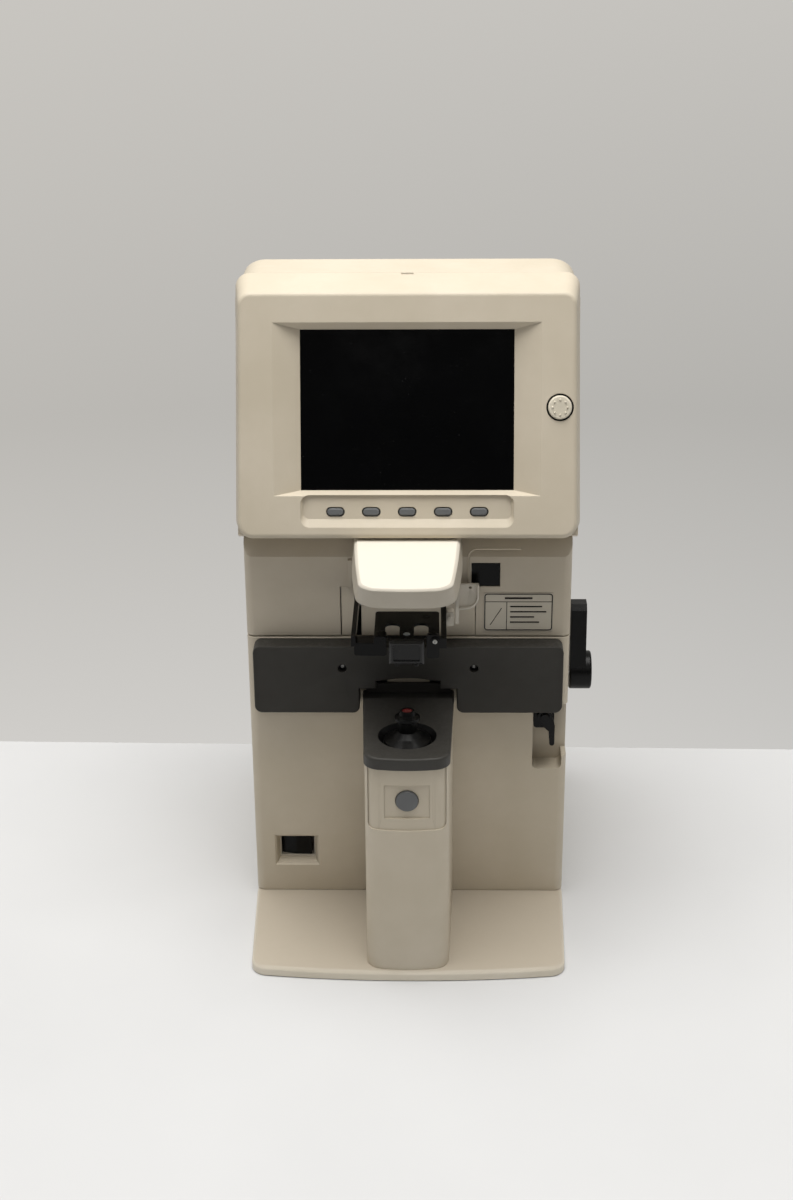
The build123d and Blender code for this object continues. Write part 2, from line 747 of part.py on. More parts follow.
with BuildPart() as emitter_housing:
    with BuildSketch(level(240.6)):
        Circle(10)
        Circle(6, mode=Mode.SUBTRACT)
    extrude(amount=8.6)
    with BuildSketch(level(247)):
        Circle(8)
        Circle(2.5, mode=Mode.SUBTRACT)
    extrude(amount=2.2)
emitter_housing.part.label = "emitter_housing"
export_step(emitter_housing.part, "parts/emitter_housing.step")

with BuildPart() as collimator_lens:
    with BuildSketch(level(241.6)):
        Circle(6)
    extrude(amount=2)
    with BuildSketch(xz(0)):
        with BuildLine():
            Line((0, 241.6), (0, 240.8))
            ThreePointArc((0, 240.8), (3, 241.0), (5.6, 241.6))
            Line((5.6, 241.6), (0, 241.6))
        make_face()
    revolve(axis=Axis.Z)
collimator_lens.part.label = "collimator_lens"
export_step(collimator_lens.part, "parts/collimator_lens.step")

# --- presser that holds a lens down ---------------------------------------------------------
with BuildPart() as presser_frame:
    # thin level plate over the lens, with two windows and a light hole
    with BuildSketch(level(210.8)):
        with Locations((0, 14)):
            RectangleRounded(36, 34, 2)
        with Locations((0, -3)):
            Rectangle(19.4, 4)
        with Locations((-8, 4), (8, 4)):
            Rectangle(8, 12, mode=Mode.SUBTRACT)
        with Locations((-8, 9), (8, 9)):
            RectangleRounded(8, 10, 3.5, mode=Mode.SUBTRACT)
        Circle(2.1, mode=Mode.SUBTRACT)
    extrude(amount=1.2)
    # finger tab at its left front corner
    with BuildSketch(xz(-8)):
        with Locations((-19.9, 206.25)):
            RectangleRounded(17.8, 7.5, 1.5)
    extrude(amount=-10)
    with BuildSketch(xz(-8)):
        with Locations((-14.5, 208.5)):
            RectangleRounded(7, 11, 1.2)
    extrude(amount=-7)
    # thin arm back through the slot
    with BuildSketch(level(208)):
        with Locations((SLOT_X, 32)):
            Rectangle(2.5, 80)
    extrude(amount=6)
presser_frame.part.label = "presser_frame"
export_step(presser_frame.part, "parts/presser_frame.step")

with BuildPart() as presser_carriage:
    with BuildSketch(level(204)):
        with Locations((-31, GUIDE_Y)):
            RectangleRounded(23, 12, 2)
        with Locations(*[(x, GUIDE_Y) for x in GUIDE_XS]):
            Circle(GUIDE_R + RUN_FIT, mode=Mode.SUBTRACT)
    extrude(amount=14)
presser_carriage.part.label = "presser_carriage"
export_step(presser_carriage.part, "parts/presser_carriage.step")

with BuildPart() as presser_guides:
    with BuildSketch(level(178)):
        with Locations(*[(x, GUIDE_Y) for x in GUIDE_XS]):
            Circle(GUIDE_R)
    extrude(amount=60)
presser_guides.part.label = "presser_guides"
export_step(presser_guides.part, "parts/presser_guides.step")

with BuildPart() as presser_block:
    with BuildSketch(level(197.7)):
        with Locations((0, -7.5)):
            Rectangle(19.4, 5)
    extrude(amount=14.1)
    chamfer(presser_block.faces().filter_by(Axis.Y).sort_by(Axis.Y)[0].edges(), 1.2)
    # sunk front
    with BuildSketch(xz(-10)):
        with Locations((0, 204.75)):
            RectangleRounded(14.6, 9.4, 0.8)
    extrude(amount=-0.8, mode=Mode.SUBTRACT)
presser_block.part.label = "presser_block"
export_step(presser_block.part, "parts/presser_block.step")

with BuildPart() as presser_tips:
    with BuildSketch(level(194)):
        with PolarLocations(6.2, 3, start_angle=90):
            Circle(1.3)
    extrude(amount=16.8)
    fillet(presser_tips.edges().filter_by(GeomType.CIRCLE).group_by(Axis.Z)[0], 0.8)
presser_tips.part.label = "presser_tips"
export_step(presser_tips.part, "parts/presser_tips.step")

# --- marking arm ---------------------------------------------------------------------------
MARK_Y = 50.0
MARK_Z = 213.0
with BuildPart() as marker_arm:
    with BuildSketch(xz(-8)):
        with Locations((14.5, 208)):
            RectangleRounded(7, 14, 1.5)
    extrude(amount=-3)
    with BuildSketch(level(207)):
        with Locations((18.5, -6.5)):
            Rectangle(7, 3)
        with Locations((20.5, 23)):
            Rectangle(3, 62)
    extrude(amount=6)
    # round head of the screw that holds the finger
    with BuildSketch(xz(-7.5)):
        with Locations((15.6, 211.5)):
            Circle(2.2)
    extrude(amount=1.8)
    with BuildSketch(side(21)):
        with Locations((MARK_Y, MARK_Z)):
            Circle(4)
    extrude(amount=5.6)
    with BuildSketch(side(20)):
        with Locations((MARK_Y, MARK_Z)):
            Circle(1.5 + RUN_FIT)
    extrude(amount=8, mode=Mode.SUBTRACT)
marker_arm.part.label = "marker_arm"
export_step(marker_arm.part, "parts/marker_arm.step")

with BuildPart() as marker_clamp:
    # small block screwed to the side of the arm
    with BuildSketch(xz(28)):
        with Locations((24.25, 208.5)):
            RectangleRounded(4.5, 8.5, 1)
    extrude(amount=-6)
    with BuildSketch(xz(28)):
        with Locations((24, 209.5)):
            Circle(1.2)
    extrude(amount=1)
marker_clamp.part.label = "marker_clamp"
export_step(marker_clamp.part, "parts/marker_clamp.step")

def shield_outline(inset):
    """Front view of the marker's shield, drawn in from its lower and right edges."""
    with BuildSketch() as outline:
        with Locations((35.25 - inset / 2, 213.1 + inset / 2)):
            Rectangle(11.5 - inset, 15.2 - inset)
        right = outline.vertices().group_by(Axis.X)[-1]
        fillet(right.sort_by(Axis.Y)[0], 8 - inset)
    return outline.sketch


with BuildPart() as marker_bracket:
    with BuildSketch(side(27.4)):
        with Locations((51.4, 213.5)):
            RectangleRounded(12.8, 13, 2)
    extrude(amount=2.1)
    with BuildSketch(xz(BODY_FRONT + 0.8)):
        with Locations((28.45, 211.5)):
            Rectangle(2.1, 7)
    extrude(amount=4)
    with BuildSketch(side(20.3)):
        with Locations((MARK_Y, MARK_Z)):
            Circle(1.5)
    extrude(amount=8.7)
    # light strip running down beside the pivot
    with BuildSketch(side(27.4)):
        with Locations((47, 203)):
            Rectangle(4, 10)
    extrude(amount=2.1)
    # shield to the right of the pivot, with a raised lip below and round its corner
    with BuildSketch(xz(50)):
        add(shield_outline(0))
        with Locations((36, 218.6)):
            Circle(0.8, mode=Mode.SUBTRACT)
    extrude(amount=-2)
    with BuildSketch(xz(50)):
        add(shield_outline(0))
        add(shield_outline(1), mode=Mode.SUBTRACT)
    extrude(amount=2)
marker_bracket.part.label = "marker_bracket"
export_step(marker_bracket.part, "parts/marker_bracket.step")

# --- lens table and its drive ---------------------------------------------------------------
with BuildPart() as lens_table:
    with BuildSketch(xz(TABLE_Y0)) as table_face:
        with Locations((0, (TABLE_Z0 + TABLE_Z1) / 2)):
            RectangleRounded(2 * TABLE_HALF, TABLE_Z1 - TABLE_Z0, 4.5)
        with Locations((0, TABLE_Z0 + 6)):
            Rectangle(57.2, 19.6, mode=Mode.SUBTRACT)
        with Locations((0, 158)):
            Rectangle(37.2, 5.4, mode=Mode.SUBTRACT)
        with BuildLine():
            ThreePointArc((-18.6, 160.2), (0, 162.6), (18.6, 160.2))
            Polyline((18.6, 160.2), (-18.6, 160.2))
        make_face(mode=Mode.SUBTRACT)
        low = table_face.vertices().filter_by_position(Axis.Y, TABLE_Z0 - 0.1, TABLE_Z0 + 0.1)
        fillet(low.filter_by_position(Axis.X, -29, 29), 4)
    extrude(amount=-(TABLE_Y1 - TABLE_Y0))
    fillet(lens_table.faces().filter_by(Axis.Y).sort_by(Axis.Y)[0].edges(), 0.8)
    with BuildSketch(xz(TABLE_Y0)):
        with Locations((-ROD_X, ROD_Z), (ROD_X, ROD_Z)):
            Circle(2.6)
    extrude(amount=-6, mode=Mode.SUBTRACT)
    with BuildSketch(xz(TABLE_Y0)):
        with Locations((-ROD_X, ROD_Z), (ROD_X, ROD_Z)):
            Circle(1.6)
    extrude(amount=-20, mode=Mode.SUBTRACT)
lens_table.part.label = "lens_table"
export_step(lens_table.part, "parts/lens_table.step")

with BuildPart() as table_screws:
    with BuildSketch(xz(TABLE_Y0 + 3.4)):
        with Locations((-ROD_X, ROD_Z), (ROD_X, ROD_Z)):
            Circle(2.5)
            RegularPolygon(1.2, 6, mode=Mode.SUBTRACT)
    extrude(amount=-2.6)
    with BuildSketch(xz(TABLE_Y0 + 5.4)):
        with Locations((-ROD_X, ROD_Z), (ROD_X, ROD_Z)):
            Circle(1.5)
    extrude(amount=-16)
table_screws.part.label = "table_screws"
export_step(table_screws.part, "parts/table_screws.step")

with BuildPart() as table_rods:
    with BuildSketch(xz(TABLE_Y1)):
        with Locations((-ROD_X, ROD_Z), (ROD_X, ROD_Z)):
            Circle(ROD_R)
    extrude(amount=-94)
    with BuildSketch(xz(TABLE_Y1)):
        with Locations((-ROD_X, ROD_Z), (ROD_X, ROD_Z)):
            Circle(1.6)
    extrude(amount=-14, mode=Mode.SUBTRACT)
table_rods.part.label = "table_rods"
export_step(table_rods.part, "parts/table_rods.step")

with BuildPart() as guide_bushes:
    # four for the table rods, two for the lever shaft
    with BuildSketch(xz(BODY_FRONT)):
        with Locations((-ROD_X, ROD_Z), (ROD_X, ROD_Z)):
            Circle(7)
            Circle(ROD_R + RUN_FIT, mode=Mode.SUBTRACT)
    extrude(amount=-8)
    with BuildSketch(xz(BULK_Y - 4)):
        with Locations((-ROD_X, ROD_Z), (ROD_X, ROD_Z)):
            Circle(7)
            Circle(ROD_R + RUN_FIT, mode=Mode.SUBTRACT)
    extrude(amount=-10)
    for x, length in ((54, 5), (88, 7.6)):
        with BuildSketch(side(x)):
            with Locations((LEVER_Y, LEVER_Z)):
                Circle(7)
                Circle(SHAFT_R + RUN_FIT, mode=Mode.SUBTRACT)
        extrude(amount=length)
guide_bushes.part.label = "guide_bushes"
export_step(guide_bushes.part, "parts/guide_bushes.step")

RACK_Z = LEVER_Z + PITCH_R  # pitch line of the rack
with BuildPart() as table_rack:
    with BuildSketch(side(GEAR_X0)):
        with Locations(((TABLE_Y1 + 134) / 2, RACK_Z + 5)):
            Rectangle(134 - TABLE_Y1, 7)
        for i in range(-3, 14):
            y = LEVER_Y + i * TOOTH_PITCH
            Polygon(
                (y - 0.95, RACK_Z + 1.6),
                (y - 0.25, RACK_Z - 1),
                (y + 0.25, RACK_Z - 1),
                (y + 0.95, RACK_Z + 1.6),
                align=None,
            )
    extrude(amount=GEAR_X1 - GEAR_X0)
table_rack.part.label = "table_rack"
export_step(table_rack.part, "parts/table_rack.step")


def pinion_outline():
    """Corner points of the pinion, with a gap straight up where the rack tooth sits."""
    points = []
    for i in range(TEETH):
        centre = math.radians(90 - (i + 0.5) * 360 / TEETH)
        for radius, half in ((PITCH_R - 1.5, 1.0), (PITCH_R + 0.9, 0.3)):
            angle = centre + half / radius
            points.append((radius, angle))
        for radius, half in ((PITCH_R + 0.9, 0.3), (PITCH_R - 1.5, 1.0)):
            angle = centre - half / radius
            points.append((radius, angle))
    return [
        (LEVER_Y + r * math.cos(a), LEVER_Z + r * math.sin(a)) for r, a in points
    ]


with BuildPart() as lever_pinion:
    with BuildSketch(side(GEAR_X0)):
        Polygon(*pinion_outline(), align=None)
        with Locations((LEVER_Y, LEVER_Z)):
            Circle(SHAFT_R, mode=Mode.SUBTRACT)
    extrude(amount=GEAR_X1 - GEAR_X0)
lever_pinion.part.label = "lever_pinion"
export_step(lever_pinion.part, "parts/lever_pinion.step")

with BuildPart() as lever_shaft:
    with BuildSketch(side(53)):
        with Locations((LEVER_Y, LEVER_Z)):
            Circle(SHAFT_R)
    extrude(amount=53)
lever_shaft.part.label = "lever_shaft"
export_step(lever_shaft.part, "parts/lever_shaft.step")

with BuildPart() as table_lever:
    with BuildSketch(side(97)):
        with Locations((LEVER_Y, LEVER_Z)):
            Circle(11.6)
    extrude(amount=13.3)
    fillet(table_lever.edges().filter_by(GeomType.CIRCLE), 1.2)
    with BuildSketch(side(97)):
        Polygon(
            (LEVER_Y - 10.4, LEVER_Z + 4),
            (LEVER_Y - 6.6, 190),
            (LEVER_Y - 3.6, 193.5),
            (LEVER_Y + 3.6, 193.5),
            (LEVER_Y + 6.6, 190),
            (LEVER_Y + 10.4, LEVER_Z + 4),
            align=None,
        )
    extrude(amount=9.5)
    with BuildSketch(side(96)):
        with Locations((LEVER_Y, LEVER_Z)):
            Circle(SHAFT_R)
    extrude(amount=10, mode=Mode.SUBTRACT)
table_lever.part.label = "table_lever"
export_step(table_lever.part, "parts/table_lever.step")

# --- small locking lever in its pocket --------------------------------------------------------
with BuildPart() as lock_hub:
    with BuildSketch(xz(71.5)):
        with Locations((81.4, 130)):
            RectangleRounded(12.4, 20, 2)
    extrude(amount=5.4)
    with BuildSketch(xz(66.5)):
        with Locations((LOCK_X, LOCK_Z)):
            Circle(1.8)
    extrude(amount=6.5)
    with BuildSketch(xz(60.2)):
        with Locations((LOCK_X, LOCK_Z)):
            Circle(2.8)
    extrude(amount=0.9)
lock_hub.part.label = "lock_hub"
export_step(lock_hub.part, "parts/lock_hub.step")

with BuildPart() as lock_lever:
    with BuildSketch(xz(65.5)):
        with Locations((LOCK_X, LOCK_Z)):
            Circle(4.6)
        Polygon(
            (82.5, 131), (86, 130), (87.7, 124), (87.7, 112), (84.7, 112), (84.2, 120), (80, 124),
            align=None,
        )
        with Locations((86.2, 112)):
            Circle(1.5)
        with Locations((LOCK_X, LOCK_Z)):
            Circle(1.8 + RUN_FIT, mode=Mode.SUBTRACT)
    extrude(amount=4.8)
lock_lever.part.label = "lock_lever"
export_step(lock_lever.part, "parts/lock_lever.step")

# --- measuring column ------------------------------------------------------------------------
with BuildPart() as front_sink:
    # shallow step in the column's upper front
    with BuildSketch(xz(-40)):
        with Locations((0, 129.4)):
            RectangleRounded(44, 53, 3)
    extrude(amount=-25)
    with BuildSketch(level(90)):
        add(column_outline(0, -0.9))
    extrude(amount=80, mode=Mode.SUBTRACT)

with BuildPart() as column_cover:
    with BuildSketch(level(BASE_TOP)):
        add(column_outline(0))
    extrude(amount=COLUMN_TOP - BASE_TOP)
    add(front_sink.part, mode=Mode.SUBTRACT)
    with BuildSketch(level(BASE_TOP)):
        add(column_outline(-WALL))
        with Locations((0, BODY_FRONT)):
            Rectangle(48.5, 30)
    extrude(amount=COLUMN_TOP - BASE_TOP, mode=Mode.SUBTRACT)
    # sunk square around the measuring button, backed by a thin plate
    with BuildSketch(xz(-26)):
        with Locations((0, 120.9)):
            RectangleRounded(30, 24.4, 0.8)
    extrude(amount=-1.4)
    with BuildSketch(xz(-30)):
        with Locations((0, 120.9)):
            RectangleRounded(25.4, 21.2, 0.8)
    extrude(amount=-4.3, mode=Mode.SUBTRACT)
    with BuildSketch(xz(-31)):
        with Locations((0, BUTTON_Z)):
            Circle(6.65)
    extrude(amount=-8, mode=Mode.SUBTRACT)
    # posts for the switch board
    with BuildSketch(xz(-14.5)):
        with Locations((0, BUTTON_Z)):
            with GridLocations(21, 15, 2, 2):
                Circle(2.2)
    extrude(amount=10.2)
column_cover.part.label = "column_cover"
export_step(column_cover.part, "parts/column_cover.step")

with BuildPart() as column_cap:
    with BuildSketch(level(COLUMN_TOP)):
        add(column_outline(0.4, 0.7))
    extrude(amount=CAP_TOP - COLUMN_TOP)
    fillet(column_cap.faces().sort_by(Axis.Z)[-1].edges().sort_by(Axis.Y)[:-1], 1.6)
    with BuildSketch(xz(0)):
        Polygon(
            (0, CAP_TOP + 1), (17.2, CAP_TOP + 1), (14, 144.5), (0, 144.5), align=None
        )
    revolve(axis=Axis.Z, mode=Mode.SUBTRACT)
    with BuildSketch(level(COLUMN_TOP)):
        Circle(6)
    extrude(amount=8, mode=Mode.SUBTRACT)
    # low upright edge at the back, inside the notch of the lens table
    with BuildSketch(level(CAP_TOP - 1)):
        with Locations((0, 56.6)):
            Rectangle(50, 2)
    extrude(amount=6.6)
column_cap.part.label = "column_cap"
export_step(column_cap.part, "parts/column_cap.step")

with BuildPart() as nosepiece:
    with BuildSketch(xz(0)):
        Polygon(
            (3, 165), (4, 165), (4.7, 162.4), (7.2, 161), (7.2, 159.6), (5.5, 158.4),
            (5.5, 152.4), (8.6, 149.8), (13.4, 147), (13.4, 144.5), (3, 144.5),
            align=None,
        )
    revolve(axis=Axis.Z)
nosepiece.part.label = "nosepiece"
export_step(nosepiece.part, "parts/nosepiece.step")

with BuildPart() as nosepiece_window:
    with BuildSketch(level(163.2)):
        Circle(3)
    extrude(amount=1.2)
nosepiece_window.part.label = "nosepiece_window"
export_step(nosepiece_window.part, "parts/nosepiece_window.step")

with BuildPart() as measure_button:
    with BuildSketch(xz(-23.2)):
        with Locations((0, BUTTON_Z)):
            Circle(6.35)
    extrude(amount=3.9)
    fillet(measure_button.faces().sort_by(Axis.Y)[0].edges(), 0.8)
    with BuildSketch(xz(-23.2)):
        with Locations((0, BUTTON_Z)):
            Circle(7.6)
    extrude(amount=1.2)
    with BuildSketch(xz(-21)):
        with Locations((0, BUTTON_Z)):
            Circle(2)
    extrude(amount=3)
measure_button.part.label = "measure_button"
export_step(measure_button.part, "parts/measure_button.step")

with BuildPart() as measure_switch:
    with BuildSketch(xz(-13)):
        with Locations((0, BUTTON_Z)):
            Rectangle(28, 21)
    extrude(amount=1.5)
    with BuildSketch(xz(-14.5)):
        with Locations((0, BUTTON_Z)):
            Rectangle(6, 6)
    extrude(amount=4.6)
measure_switch.part.label = "measure_switch"
export_step(measure_switch.part, "parts/measure_switch.step")

with BuildPart() as receiver_barrel:
    with BuildSketch(level(64)):
        Circle(10)
        Circle(7, mode=Mode.SUBTRACT)
    extrude(amount=COLUMN_TOP - 64)
receiver_barrel.part.label = "receiver_barrel"
export_step(receiver_barrel.part, "parts/receiver_barrel.step")

with BuildPart() as sensor_board:
    with BuildSketch(level(60.4)):
        Rectangle(26, 24)
    extrude(amount=1.6)
    with BuildSketch(level(62)):
        Rectangle(7, 7)
    extrude(amount=1.2)
sensor_board.part.label = "sensor_board"
export_step(sensor_board.part, "parts/sensor_board.step")

# --- mains switch -----------------------------------------------------------------------------
PIVOT_Y = SWITCH_Y + 5
with BuildPart() as power_switch_body:
    with BuildSketch(xz(SWITCH_Y)):
        with Locations((SWITCH_X, SWITCH_Z)):
            Rectangle(28, 22)
    extrude(amount=-18)
    with BuildSketch(xz(SWITCH_Y)):
        with Locations((SWITCH_X, SWITCH_Z)):
            Rectangle(20.4, 12.8)
    extrude(amount=-12, mode=Mode.SUBTRACT)
power_switch_body.part.label = "power_switch_body"
export_step(power_switch_body.part, "parts/power_switch_body.step")

with BuildPart() as power_rocker:
    with BuildSketch(level(SWITCH_Z - 6)) as rocker_plan:
        with Locations(Location((SWITCH_X, PIVOT_Y), -8)):
            Polygon(
                (-9.4, -4.2), (0, -5.2), (9.4, -4.2), (8.4, 1.5), (-8.4, 1.5),
                align=None,
            )
    extrude(amount=12)
power_rocker.part.label = "power_rocker"
export_step(power_rocker.part, "parts/power_rocker.step")

# --- electronics in the body --------------------------------------------------------------------
with BuildPart() as main_board:
    with BuildSketch(xz(122)):
        with Locations((0, 110)):
            Rectangle(150, 90)
    extrude(amount=-1.6)
    with BuildSketch(xz(122)):
        with Locations((0, 110)):
            with GridLocations(140, 80, 2, 2):
                Circle(3)
    extrude(amount=8)
    with BuildSketch(xz(123.6)):
        with Locations((-30, 110), (20, 120)):
            Rectangle(28, 28)
        with Locations((58, 100)):
            Rectangle(16, 50)
    extrude(amount=-4)
main_board.part.label = "main_board"
export_step(main_board.part, "parts/main_board.step")

with BuildPart() as power_supply:
    with BuildSketch(level(BASE_TOP + 2)):
        with Locations((-67, 160)):
            Rectangle(30, 60)
    extrude(amount=40)
power_supply.part.label = "power_supply"
export_step(power_supply.part, "parts/power_supply.step")

with BuildPart() as power_inlet:
    with BuildSketch(xz(BODY_REAR + 1.5)):
        with Locations((-56, 42)):
            RectangleRounded(32, 25, 2)
    extrude(amount=1.5)
    with BuildSketch(xz(BODY_REAR)):
        with Locations((-56, 42)):
            RectangleRounded(27.4, 20.4, 1.5)
    extrude(amount=18)
    # three-pin socket
    with BuildSketch(xz(BODY_REAR + 1.5)):
        with Locations((-56, 42)):
            RectangleRounded(23, 15, 2)
    extrude(amount=14, mode=Mode.SUBTRACT)
    with BuildSketch(xz(BODY_REAR - 11)):
        with Locations((-63, 41), (-49, 41), (-56, 45)):
            Rectangle(2, 5)
    extrude(amount=-10)
power_inlet.part.label = "power_inlet"
export_step(power_inlet.part, "parts/power_inlet.step")

with BuildPart() as serial_port:
    with BuildSketch(xz(BODY_REAR + 1)):
        with Locations((46, 42)):
            RectangleRounded(30.4, 11.4, 1.5)
    extrude(amount=12)
    with BuildSketch(xz(BODY_REAR + 1)):
        with Locations((46, 42)):
            SlotOverall(19, 8)
    extrude(amount=6, mode=Mode.SUBTRACT)
serial_port.part.label = "serial_port"
export_step(serial_port.part, "parts/serial_port.step")
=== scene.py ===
"""Looks for the table-top lensmeter: camera, studio, procedural materials and small detail pieces."""

import json
import math

import bmesh
import bpy
from mathutils import Matrix, Vector

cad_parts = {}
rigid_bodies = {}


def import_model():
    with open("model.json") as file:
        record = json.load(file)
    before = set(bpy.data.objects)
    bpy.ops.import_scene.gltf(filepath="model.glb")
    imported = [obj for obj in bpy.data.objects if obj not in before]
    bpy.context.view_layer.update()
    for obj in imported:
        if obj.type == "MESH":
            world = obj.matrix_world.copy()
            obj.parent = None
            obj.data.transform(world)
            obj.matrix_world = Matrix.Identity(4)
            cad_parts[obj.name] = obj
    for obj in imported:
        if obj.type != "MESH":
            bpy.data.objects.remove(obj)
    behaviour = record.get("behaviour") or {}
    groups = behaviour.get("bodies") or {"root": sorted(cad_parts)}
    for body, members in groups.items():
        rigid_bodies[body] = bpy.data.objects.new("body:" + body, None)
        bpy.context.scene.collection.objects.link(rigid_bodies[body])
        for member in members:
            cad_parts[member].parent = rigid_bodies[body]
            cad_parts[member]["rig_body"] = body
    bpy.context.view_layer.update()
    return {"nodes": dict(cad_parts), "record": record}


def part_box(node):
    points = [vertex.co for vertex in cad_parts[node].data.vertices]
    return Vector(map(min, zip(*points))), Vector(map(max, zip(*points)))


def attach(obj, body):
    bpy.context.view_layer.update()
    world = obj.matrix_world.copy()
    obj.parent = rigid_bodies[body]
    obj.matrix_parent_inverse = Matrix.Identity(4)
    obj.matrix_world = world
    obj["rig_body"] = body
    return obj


MM = 0.001
FRONT = (0, -1, 0)
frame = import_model()
nodes = frame["nodes"]
scene = bpy.context.scene

# --- camera -------------------------------------------------------------------
CAMERA_PLACE = (0.014, -0.930, 0.6313)
FOCAL_LENGTH = 55.5
PITCH = 23.4  # degrees that the camera looks down
YAW = 1.2
ROLL = -0.45
cam_data = bpy.data.cameras.new("camera")
cam_data.lens = FOCAL_LENGTH
cam_data.sensor_width = 36
cam_data.dof.use_dof = False
cam = bpy.data.objects.new("camera", cam_data)
scene.collection.objects.link(cam)
cam.matrix_world = (
    Matrix.Translation(CAMERA_PLACE)
    @ Matrix.Rotation(math.radians(YAW), 4, "Z")
    @ Matrix.Rotation(math.radians(90 - PITCH), 4, "X")
    @ Matrix.Rotation(math.radians(ROLL), 4, "Z")
)
scene.camera = cam

# --- shader tools ---------------------------------------------------------------
# sockets of a Mix node that mixes colours
MIX_FACTOR = 0
MIX_ONE = 6
MIX_TWO = 7
MIX_RESULT = 2


def noise(tree, links, coord, scale, detail, rough=0.5):
    """Noise on the given coordinates."""
    node = tree.new("ShaderNodeTexNoise")
    node.inputs["Scale"].default_value = scale
    node.inputs["Detail"].default_value = detail
    node.inputs["Roughness"].default_value = rough
    links.new(coord, node.inputs["Vector"])
    return node.outputs["Fac"]


def remap(tree, links, value, source, target, smooth=False):
    """Maps a value from the source range to the target range and keeps it inside the target."""
    node = tree.new("ShaderNodeMapRange")
    if smooth:
        node.interpolation_type = "SMOOTHSTEP"
    node.inputs["From Min"].default_value, node.inputs["From Max"].default_value = source
    node.inputs["To Min"].default_value, node.inputs["To Max"].default_value = target
    links.new(value, node.inputs["Value"])
    return node.outputs[0]


def mix(tree, links, factor, one, two):
    """Mixes two colours, given as sockets or numbers, by a factor socket."""
    node = tree.new("ShaderNodeMix")
    node.data_type = "RGBA"
    links.new(factor, node.inputs[MIX_FACTOR])
    for value, socket in ((one, node.inputs[MIX_ONE]), (two, node.inputs[MIX_TWO])):
        if hasattr(value, "is_linked"):
            links.new(value, socket)
        else:
            socket.default_value = value
    return node.outputs[MIX_RESULT]


# --- light --------------------------------------------------------------------
scene.view_settings.view_transform = "Standard"
scene.view_settings.look = "None"
world = bpy.data.worlds.new("room")
scene.world = world
world.use_nodes = True
world_tree = world.node_tree.nodes
world_links = world.node_tree.links
world_tree.clear()
world_output = world_tree.new("ShaderNodeOutputWorld")
background = world_tree.new("ShaderNodeBackground")
direction = world_tree.new("ShaderNodeSeparateXYZ")
world_links.new(world_tree.new("ShaderNodeTexCoord").outputs["Generated"], direction.inputs[0])
world_up = remap(world_tree, world_links, direction.outputs["Z"], (-1, 1), (0, 1))
world_right = remap(world_tree, world_links, direction.outputs["X"], (-0.22, 0.22), (0, 1))
world_back = remap(world_tree, world_links, direction.outputs["Y"], (-0.15, 0.45), (0, 1), smooth=True)


def world_ramp(stops):
    """Colour by the height of the direction; a stop is (z from -1 to 1, colour)."""
    node = world_tree.new("ShaderNodeValToRGB")
    ramp = node.color_ramp
    while len(ramp.elements) < len(stops):
        ramp.elements.new(0.5)
    for element, (z, colour) in zip(ramp.elements, stops):
        element.position = (z + 1) / 2
        element.color = (*colour, 1)
    world_links.new(world_up, node.inputs[0])
    return node.outputs[0]


# pale wall behind the instrument, a little darker on the right, and a dim room in front of it
wall_left = world_ramp(
    [
        (-0.47, (0.640, 0.625, 0.600)),
        (-0.30, (0.497, 0.482, 0.455)),
        (-0.09, (0.578, 0.560, 0.528)),
        (0.45, (0.62, 0.60, 0.57)),
        (1.0, (0.75, 0.74, 0.72)),
    ]
)
wall_right = world_ramp(
    [
        (-0.47, (0.585, 0.575, 0.555)),
        (-0.30, (0.450, 0.440, 0.418)),
        (-0.09, (0.555, 0.540, 0.512)),
    ]
)
room = world_ramp(
    [
        (-0.2, (0.16, 0.155, 0.15)),
        (0.25, (0.045, 0.044, 0.043)),
        (0.6, (0.22, 0.215, 0.205)),
        (1.0, (0.75, 0.74, 0.72)),
    ]
)
wall = mix(world_tree, world_links, world_right, wall_left, wall_right)
surroundings = mix(world_tree, world_links, world_back, room, wall)
world_links.new(surroundings, background.inputs["Color"])
world_links.new(background.outputs[0], world_output.inputs[0])
background.inputs["Strength"].default_value = 1.0


def area_light(name, place, target, size, power, colour):
    """A soft rectangular lamp at place, turned to target."""
    data = bpy.data.lights.new(name, "AREA")
    data.shape = "RECTANGLE"
    data.size, data.size_y = size
    data.energy = power
    data.color = colour
    lamp = bpy.data.objects.new(name, data)
    scene.collection.objects.link(lamp)
    lamp.location = place
    aim = Vector(target) - Vector(place)
    lamp.rotation_euler = aim.to_track_quat("-Z", "Y").to_euler()


area_light(
    "ceiling",
    place=(-0.05, -0.05, 1.7),
    target=(0, 0.05, 0),
    size=(1.3, 1.0),
    power=31,
    colour=(1, 0.985, 0.955),
)
area_light(
    "front_fill",
    place=(0.1, -1.9, 1.5),
    target=(0, 0.1, 0.1),
    size=(1.4, 0.8),
    power=2.5,
    colour=(1, 0.98, 0.95),
)

# --- material makers --------------------------------------------------------------
DUST = (0.55, 0.53, 0.49, 1)
DISH_BLACK = (0.0022, 0.0022, 0.0022, 1)
DISH_EDGE = 0.2 * MM  # width over which the black of a dish fades out


def new_material(name):
    """A material with its nodes, its links and its Principled shader."""
    mat = bpy.data.materials.new(name)
    mat.use_nodes = True
    return mat, mat.node_tree.nodes, mat.node_tree.links, mat.node_tree.nodes["Principled BSDF"]


def shade(colour, red, green, blue):
    """The colour with each channel scaled, to 1 at most, and an alpha of 1."""
    scaled = (colour[0] * red, colour[1] * green, colour[2] * blue)
    return (*(min(1, channel) for channel in scaled), 1)


